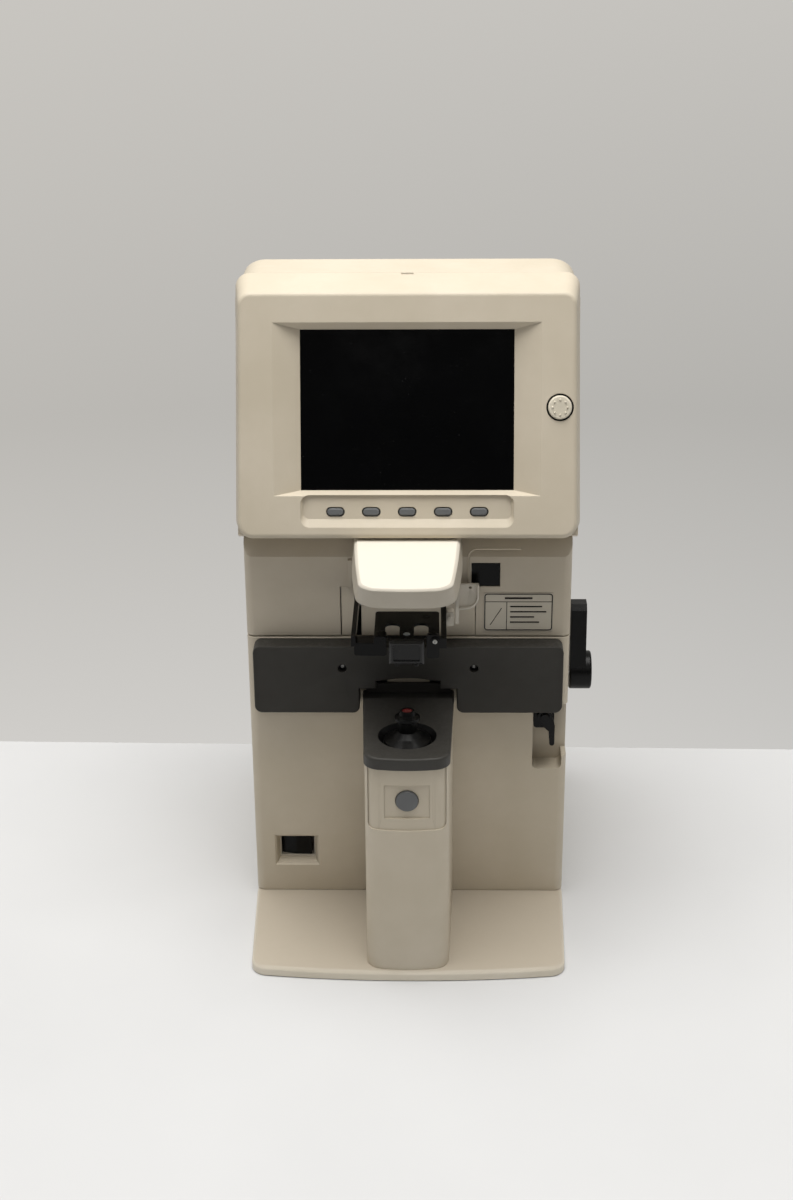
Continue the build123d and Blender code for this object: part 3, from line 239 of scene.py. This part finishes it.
def moulded(
    name,
    colour,
    rough,
    grain,
    grain_scale=1500,
    edge_wear_and_highlight=0.05,
    dust=0.0,
    spec=0.4,
    edge=0.5,
    painted_top_tone=None,
    dish=0.0,
):
    """Moulded plastic: fine spark-eroded grain, faint mottling, lighter edges that are partly wear and
    partly a painted highlight, painted shade in creases and settled dust.

    Edges are softened by edge millimetres. Faces that look up can take another colour as painted light or
    painted shade on the top. The plastic can be black inside a dish, which is a radius round the object's
    own upright axis.
    """
    mat, tree, links, shader = new_material(name)
    coord = tree.new("ShaderNodeTexCoord").outputs["Object"]
    geometry = tree.new("ShaderNodeNewGeometry")
    mottle = noise(tree, links, coord, scale=22, detail=3)
    blotch = noise(tree, links, coord, scale=140, detail=4, rough=0.6)
    fine = noise(tree, links, coord, scale=grain_scale, detail=3, rough=0.6)

    tone = remap(tree, links, mottle, (0.35, 0.65), (0, 1))
    base = mix(tree, links, tone, shade(colour, 0.96, 0.955, 0.94), shade(colour, 1.04, 1.04, 1.05))
    stain = remap(tree, links, blotch, (0.3, 0.75), (0.0, 0.25))
    base = mix(tree, links, stain, base, shade(colour, 0.92, 0.91, 0.88))
    # painted highlight and wear: convex edges are lightened, partly for real wear, partly for light
    # catching them
    worn_and_highlit_edges = remap(tree, links, geometry.outputs["Pointiness"], (0.52, 0.62), (0, edge_wear_and_highlight))
    worn_and_highlit_colour = tuple(min(1, channel * 1.3 + 0.05) for channel in colour)
    base = mix(tree, links, worn_and_highlit_edges, base, (*worn_and_highlit_colour, 1))
    # painted shade in creases and hollows, with a little grime: concave places are darkened
    grime_and_crease_shade = remap(tree, links, geometry.outputs["Pointiness"], (0.40, 0.49), (0.35, 0))
    base = mix(tree, links, grime_and_crease_shade, base, shade(colour, 0.45, 0.42, 0.37))

    normal = tree.new("ShaderNodeSeparateXYZ")
    links.new(geometry.outputs["Normal"], normal.inputs[0])
    # painted light and shade: faces that look up take another colour, lighter on a lit top, darker on a
    # shaded top
    if painted_top_tone:
        up = remap(tree, links, normal.outputs["Z"], (0.35, 0.95), (0, 1))
        base = mix(tree, links, up, base, (*painted_top_tone, 1))
    if dish:
        flat = tree.new("ShaderNodeVectorMath")
        flat.operation = "MULTIPLY"
        flat.inputs[1].default_value = (1, 1, 0)
        links.new(coord, flat.inputs[0])
        away = tree.new("ShaderNodeVectorMath")
        away.operation = "LENGTH"
        links.new(flat.outputs[0], away.inputs[0])
        inside = remap(tree, links, away.outputs["Value"], (dish - DISH_EDGE, dish), (1, 0))
        base = mix(tree, links, inside, base, DISH_BLACK)
    if dust:
        up = remap(tree, links, normal.outputs["Z"], (0.6, 1.0), (0, 1))
        specks = noise(tree, links, coord, scale=420, detail=6, rough=0.7)
        spots = remap(tree, links, specks, (0.45, 0.75), (0, dust))
        settled = tree.new("ShaderNodeMath")
        settled.operation = "MULTIPLY"
        links.new(up, settled.inputs[0])
        links.new(spots, settled.inputs[1])
        base = mix(tree, links, settled.outputs[0], base, DUST)

    links.new(base, shader.inputs["Base Color"])
    gloss = remap(tree, links, blotch, (0.3, 0.7), (rough - 0.05, rough + 0.07))
    links.new(gloss, shader.inputs["Roughness"])
    shader.inputs["Specular IOR Level"].default_value = spec
    bevel = tree.new("ShaderNodeBevel")
    bevel.samples = 4
    bevel.inputs["Radius"].default_value = edge * MM
    bump = tree.new("ShaderNodeBump")
    bump.inputs["Strength"].default_value = grain
    bump.inputs["Distance"].default_value = 0.3 * MM
    links.new(fine, bump.inputs["Height"])
    links.new(bevel.outputs[0], bump.inputs["Normal"])
    links.new(bump.outputs[0], shader.inputs["Normal"])
    return mat


def metal(name, colour, rough, streaks):
    """Turned or brushed metal; its fine streaks are noise squeezed along Y."""
    mat, tree, links, shader = new_material(name)
    coord = tree.new("ShaderNodeTexCoord").outputs["Object"]
    stretch = tree.new("ShaderNodeMapping")
    stretch.inputs["Scale"].default_value = (1, streaks, 1)
    links.new(coord, stretch.inputs["Vector"])
    streak = noise(tree, links, stretch.outputs[0], scale=60, detail=5, rough=0.6)
    spots = noise(tree, links, coord, scale=300, detail=4)
    tone = remap(tree, links, spots, (0.35, 0.65), (0, 1))
    base = mix(tree, links, tone, shade(colour, 0.82, 0.82, 0.82), (*colour, 1))
    links.new(base, shader.inputs["Base Color"])
    shader.inputs["Metallic"].default_value = 1.0
    gloss = remap(tree, links, streak, (0.3, 0.7), (rough - 0.08, rough + 0.12))
    links.new(gloss, shader.inputs["Roughness"])
    bump = tree.new("ShaderNodeBump")
    bump.inputs["Strength"].default_value = 0.08
    bump.inputs["Distance"].default_value = 0.2 * MM
    links.new(streak, bump.inputs["Height"])
    links.new(bump.outputs[0], shader.inputs["Normal"])
    return mat


def glassy(name, colour, rough, emit=None, strength=0.0):
    """Glossy glass seen as an opaque surface, with a few specks and with smears in its gloss."""
    mat, tree, links, shader = new_material(name)
    coord = tree.new("ShaderNodeTexCoord").outputs["Object"]
    smear = noise(tree, links, coord, scale=35, detail=5, rough=0.65)
    specks = noise(tree, links, coord, scale=900, detail=2)
    speck_colour = tuple(channel * 2 + 0.05 for channel in colour)
    speckled = remap(tree, links, specks, (0.72, 0.8), (0, 0.5))
    base = mix(tree, links, speckled, (*colour, 1), (*speck_colour, 1))
    links.new(base, shader.inputs["Base Color"])
    gloss = remap(tree, links, smear, (0.35, 0.7), (rough, rough + 0.10))
    links.new(gloss, shader.inputs["Roughness"])
    shader.inputs["Specular IOR Level"].default_value = 0.3
    if emit:
        shader.inputs["Emission Color"].default_value = (*emit, 1)
        shader.inputs["Emission Strength"].default_value = strength
    return mat


# --- the materials of the slots ------------------------------------------------------
# in these plastics convex edges are lightened by a set amount, partly real wear and partly a painted
# highlight; strongest on the keys and the light grey plastic
plastics = {
    "ivory_cover": dict(colour=(0.560, 0.500, 0.400), rough=0.46, grain=0.10, dust=0.08, spec=0.28),
    # the nose's upward faces are painted lighter than its plastic: painted light on its top
    "cream_nose": dict(
        colour=(0.46, 0.42, 0.35), rough=0.42, grain=0.07, spec=0.3, edge=1.6, painted_top_tone=(0.70, 0.66, 0.58)
    ),
    "dark_grey_plastic": dict(
        colour=(0.034, 0.032, 0.028), rough=0.55, grain=0.16, dust=0.05, edge_wear_and_highlight=0.10, spec=0.22
    ),
    "black_plastic": dict(colour=(0.0035, 0.0035, 0.0035), rough=0.30, grain=0.05, edge_wear_and_highlight=0.02, spec=0.16),
    "black_gloss": dict(colour=(0.0025, 0.0025, 0.0025), rough=0.22, grain=0.02, edge_wear_and_highlight=0.02, spec=0.12),
    "key_grey": dict(colour=(0.125, 0.130, 0.135), rough=0.40, grain=0.08, edge_wear_and_highlight=0.25),
    "light_grey_plastic": dict(colour=(0.47, 0.435, 0.37), rough=0.38, grain=0.06, edge_wear_and_highlight=0.4),
    "foot_rubber": dict(colour=(0.018, 0.018, 0.018), rough=0.75, grain=0.3, grain_scale=700, spec=0.2),
    "label_film": dict(colour=(0.50, 0.46, 0.38), rough=0.34, grain=0.01, edge_wear_and_highlight=0.0),
    "white_acetal": dict(colour=(0.70, 0.70, 0.66), rough=0.35, grain=0.04),
    "circuit_board": dict(colour=(0.02, 0.12, 0.05), rough=0.25, grain=0.05, edge_wear_and_highlight=0.02),
}
metals = {
    "zinc_steel": dict(colour=(0.50, 0.50, 0.48), rough=0.34, streaks=60),
    "bright_steel": dict(colour=(0.72, 0.72, 0.72), rough=0.18, streaks=20),
    "bronze": dict(colour=(0.55, 0.40, 0.20), rough=0.30, streaks=20),
}
glasses = {
    "screen_glass": dict(colour=(0.0010, 0.0011, 0.0013), rough=0.05),
    "clear_glass": dict(colour=(0.30, 0.33, 0.34), rough=0.04),
    "red_glass": dict(colour=(0.085, 0.010, 0.010), rough=0.10, emit=(1.0, 0.12, 0.12), strength=0.03),
}
mats = {}
for make, looks in ((moulded, plastics), (metal, metals), (glassy, glasses)):
    for slot, look in looks.items():
        mats[slot] = make(slot, **look)

# nodes whose finish differs a little from the rest of their slot; some are lighter or darker copies of
# their plastic, as painted light and painted shade
own_finish_and_painted_light = {
    "column_cap": moulded(
        "cap_dark_grey",
        colour=(0.040, 0.038, 0.034),
        rough=0.48,
        grain=0.16,
        dust=0.03,
        edge_wear_and_highlight=0.12,
        spec=0.3,
        dish=16.7 * MM,
    ),
    "contrast_knob": moulded(
        "cream_knob",
        colour=(0.68, 0.63, 0.52),
        rough=0.38,
        grain=0.05,
        spec=0.35,
    ),
    # a darker copy of the ivory plastic: painted shade of the overhanging head on the upper body
    "upper_body_cover": moulded(
        "upper_ivory_painted_shade",
        colour=(0.505, 0.450, 0.362),
        rough=0.46,
        grain=0.10,
        dust=0.08,
        spec=0.28,
    ),
    # a lighter copy of the ivory plastic with darker upward faces: painted light on the rounded front
    # edge, painted shade on the top under the head
    "base_cover": moulded(
        "base_ivory_painted_light",
        colour=(0.74, 0.68, 0.57),
        rough=0.46,
        grain=0.10,
        dust=0.04,
        spec=0.3,
        painted_top_tone=(0.450, 0.398, 0.322),
    ),
    # the black block's edges are lightened strongly: a painted highlight along its edges, with a little
    # wear
    "presser_block": moulded(
        "block_black",
        colour=(0.0030, 0.0030, 0.0030),
        rough=0.24,
        grain=0.04,
        edge_wear_and_highlight=0.30,
        spec=0.30,
    ),
}
for part in frame["record"]["subparts"]:
    node = nodes[part["node"]]
    node.data.materials.clear()
    node.data.materials.append(own_finish_and_painted_light.get(part["node"], mats[part["material_slot"]]))

# --- detail pieces ------------------------------------------------------------------


def piece(name, bm, node, mat):
    """A mesh built here that moves with a CAD node's body."""
    bmesh.ops.recalc_face_normals(bm, faces=bm.faces)
    mesh = bpy.data.meshes.new(name)
    bm.to_mesh(mesh)
    bm.free()
    for polygon in mesh.polygons:
        polygon.use_smooth = True
    mesh.materials.append(mats[mat])
    obj = bpy.data.objects.new(name, mesh)
    scene.collection.objects.link(obj)
    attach(obj, nodes[node]["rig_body"])


def tube(bm, points, radius, facing, closed=False, sides=8):
    """Sweeps a round section along points that lie in a plane facing one way."""
    points = [Vector(p) for p in points]
    facing = Vector(facing).normalized()
    count = len(points)
    rings = []
    for i, point in enumerate(points):
        before = points[i - 1] if (i or closed) else point
        after = points[(i + 1) % count] if (i < count - 1 or closed) else point
        across = (after - before).normalized().cross(facing)
        ring = []
        for k in range(sides):
            turn = 2 * math.pi * k / sides
            ring.append(bm.verts.new(point + radius * (math.cos(turn) * across + math.sin(turn) * facing)))
        rings.append(ring)
    for i in range(count if closed else count - 1):
        one, two = rings[i], rings[(i + 1) % count]
        for k in range(sides):
            bm.faces.new((one[k], one[(k + 1) % sides], two[(k + 1) % sides], two[k]))
    if not closed:
        bm.faces.new(rings[0])
        bm.faces.new(rings[-1])


def stroke(bm, y, start, end, radius):
    """A straight line at depth y on a front face, from one (x, z) to another."""
    tube(bm, [(start[0], y, start[1]), (end[0], y, end[1])], radius, FRONT)


def turned(bm, centre, axis, profile, sides=32):
    """A turned shape: the profile is (radius, height along the axis) from one end to the other."""
    spin = Vector(axis).to_track_quat("Z", "Y").to_matrix()
    rings = []
    for radius, height in profile:
        if radius == 0:
            rings.append([bm.verts.new(Vector(centre) + spin @ Vector((0, 0, height)))])
            continue
        ring = []
        for k in range(sides):
            turn = 2 * math.pi * k / sides
            offset = Vector((radius * math.cos(turn), radius * math.sin(turn), height))
            ring.append(bm.verts.new(Vector(centre) + spin @ offset))
        rings.append(ring)
    for one, two in zip(rings, rings[1:]):
        for k in range(sides):
            m = (k + 1) % sides
            corners = [one[k % len(one)], one[m % len(one)], two[m % len(two)], two[k % len(two)]]
            bm.faces.new(list(dict.fromkeys(corners)))


def quarter(x, z, radius, start, end, steps=6):
    """Points (x, z) along a quarter of a circle, from the angle start to the angle end in degrees."""
    points = []
    for i in range(steps + 1):
        turn = math.radians(start + (end - start) * i / steps)
        points.append((x + radius * math.cos(turn), z + radius * math.sin(turn)))
    return points


def round_corners(width, height, radius):
    """Points round a rectangle with rounded corners."""
    x = width / 2 - radius
    z = height / 2 - radius
    loop = []
    for cx, cz, start in ((x, z, 0), (-x, z, 90), (-x, -z, 180), (x, -z, 270)):
        loop += quarter(cx, cz, radius, start, start + 90)
    return loop


# outline of a screw head with a round dimple: (radius, height), both over the head's own radius
SCREW_OUTLINE = (
    (0, -0.3),
    (1, -0.3),
    (1, 0),
    (0.92, 0.14),
    (0.62, 0.28),
    (0.38, 0.35),
    (0.30, 0.05),
    (0, -0.1),
)


def screw_head(bm, centre, radius):
    """A domed screw head on a front face, with a round dimple in its middle."""
    turned(bm, centre, FRONT, [(radius * out, radius * up) for out, up in SCREW_OUTLINE], sides=24)


# border, rules and a slanting stroke printed on the blank plate
BORDER_INSET = 0.75 * MM
BORDER_CORNER = 1.5 * MM
BORDER_LINE = 0.32 * MM
RULE_INSET = 1.0 * MM
RULE_LINE = 0.2 * MM
TITLE_HEIGHT = 4.6 * MM
SIDE_FIELD = 12.5 * MM
STROKE_GAP = 3 * MM
STROKE_TOP_GAP = 4 * MM
low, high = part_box("blank_label")
bm = bmesh.new()
centre = (low + high) / 2
loop = round_corners(high.x - low.x - 2 * BORDER_INSET, high.z - low.z - 2 * BORDER_INSET, BORDER_CORNER)
tube(bm, [(centre.x + x, low.y, centre.z + z) for x, z in loop], BORDER_LINE, FRONT, closed=True)
left = low.x + RULE_INSET
right = high.x - RULE_INSET
lower = low.z + RULE_INSET
rule_z = high.z - RULE_INSET - TITLE_HEIGHT
field_x = left + SIDE_FIELD
for start, end in (
    ((left, rule_z), (right, rule_z)),
    ((field_x, lower), (field_x, rule_z)),
    ((left + STROKE_GAP, lower + STROKE_GAP), (field_x - STROKE_GAP, rule_z - STROKE_TOP_GAP)),
):
    stroke(bm, low.y, start, end, RULE_LINE)
# plain bars where such a plate carries its lines of print
BAR_LENGTHS = (18.5, 21, 14, 17)  # this and the next three are in millimetres
BAR_START = 2
BAR_DROP = 3.0
BAR_PITCH = 3.3
BAR_LINE = 0.42 * MM
TITLE_HALF = 8 * MM
TITLE_RISE = 2.3 * MM
TITLE_LINE = 0.55 * MM
for i, length in enumerate(BAR_LENGTHS):
    z = rule_z - (BAR_DROP + BAR_PITCH * i) * MM
    stroke(bm, low.y, (field_x + BAR_START * MM, z), (field_x + (BAR_START + length) * MM, z), BAR_LINE)
title_z = rule_z + TITLE_RISE
stroke(bm, low.y, (centre.x - TITLE_HALF, title_z), (centre.x + TITLE_HALF, title_z), TITLE_LINE)
piece("label_border", bm, "blank_label", "black_plastic")

# raised line of the access panel round the sensor window
PANEL_SIDE_GAP = 1.8 * MM
PANEL_TOP_GAP = 9.6 * MM
PANEL_FOOT_GAP = 12 * MM
PANEL_WIDTH = 30 * MM
PANEL_CORNER = 5 * MM
PANEL_LINE = 0.55 * MM
low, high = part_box("sensor_window")
face_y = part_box("upper_body_cover")[0].y
left = low.x - PANEL_SIDE_GAP
top = high.z + PANEL_TOP_GAP
path = [(left, low.z - PANEL_FOOT_GAP), (left, top - PANEL_CORNER)]
path += quarter(left + PANEL_CORNER, top - PANEL_CORNER, PANEL_CORNER, 180, 90)
path.append((left + PANEL_WIDTH, top))
bm = bmesh.new()
tube(bm, [(x, face_y, z) for x, z in path], PANEL_LINE, FRONT)
piece("panel_line", bm, "upper_body_cover", "ivory_cover")

# screw that holds the marking finger
FINGER_SCREW = (15.6 * MM, -9.3 * MM, 207.8 * MM)
FINGER_SCREW_RADIUS = 1.35 * MM
bm = bmesh.new()
screw_head(bm, FINGER_SCREW, FINGER_SCREW_RADIUS)
piece("finger_screw", bm, "marker_arm", "zinc_steel")

# small domes with a dimple in the middle of the lens table's two screws
DOME_RISE = 0.05 * MM
low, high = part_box("table_screws")
radius = (high.z - low.z) / 2
bm = bmesh.new()
for x in (low.x + radius, high.x - radius):
    screw_head(bm, (x, low.y - DOME_RISE, (low.z + high.z) / 2), 0.5 * radius)
piece("table_screw_recess", bm, "table_screws", "zinc_steel")

# small lens seated in the hole of the pressing plate
LENS_HEIGHT = 208.3 * MM
LENS_PROFILE = (
    (0, -0.6 * MM),
    (2.0 * MM, -0.6 * MM),
    (2.0 * MM, 0.1 * MM),
    (1.2 * MM, 0.5 * MM),
    (0, 0.65 * MM),
)
bm = bmesh.new()
turned(bm, (0, 0, LENS_HEIGHT), (0, 0, 1), LENS_PROFILE)
piece("presser_lens", bm, "presser_frame", "clear_glass")

# black block in the notch of the head's top seam: painted shade that darkens the notch
HEAD_TILT = 16.5
NOTCH_SHADE_SIZE = (6.2 * MM, 1.8 * MM, 2.2 * MM)
NOTCH_SHADE_BEVEL = 0.35 * MM
NOTCH_SHADE_BACK = 3.2 * MM
NOTCH_SHADE_DROP = 2.6 * MM
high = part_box("head_bezel")[1]
notch = Vector((0, high.y - NOTCH_SHADE_BACK, high.z - NOTCH_SHADE_DROP))
tilt = Matrix.Rotation(math.radians(-HEAD_TILT), 3, "X")
bm = bmesh.new()
bmesh.ops.create_cube(bm, size=1)
bmesh.ops.scale(bm, vec=NOTCH_SHADE_SIZE, verts=bm.verts)
bmesh.ops.bevel(bm, geom=list(bm.edges), offset=NOTCH_SHADE_BEVEL, segments=2, affect="EDGES")
bmesh.ops.rotate(bm, cent=(0, 0, 0), matrix=tilt, verts=bm.verts)
bmesh.ops.translate(bm, vec=notch, verts=bm.verts)
piece("notch_shade_block", bm, "head_bezel", "black_plastic")

# --- floor -----------------------------------------------------------------------
FLOOR_WIDTH = 4.4
FLOOR_DEPTH = 2.3
FLOOR_BACK = 0.262
FLOOR_TURN = -1.0
bpy.ops.mesh.primitive_grid_add(x_subdivisions=2, y_subdivisions=2, size=1)
floor = bpy.context.object
floor.name = "floor"
floor.scale = (FLOOR_WIDTH, FLOOR_DEPTH, 1)
floor.rotation_euler = (0, 0, math.radians(FLOOR_TURN))
floor.location = (0, FLOOR_BACK - FLOOR_DEPTH / 2, 0)
bpy.ops.object.transform_apply(location=True, rotation=True, scale=True)
floor_mat, tree, links, shader = new_material("floor")
coord = tree.new("ShaderNodeTexCoord").outputs["Object"]
cloud = remap(tree, links, noise(tree, links, coord, scale=6, detail=3), (0.3, 0.7), (0, 1))
floor_colour = mix(tree, links, cloud, (0.590, 0.595, 0.605, 1), (0.615, 0.62, 0.63, 1))
links.new(floor_colour, shader.inputs["Base Color"])
shader.inputs["Roughness"].default_value = 0.65
floor.data.materials.append(floor_mat)
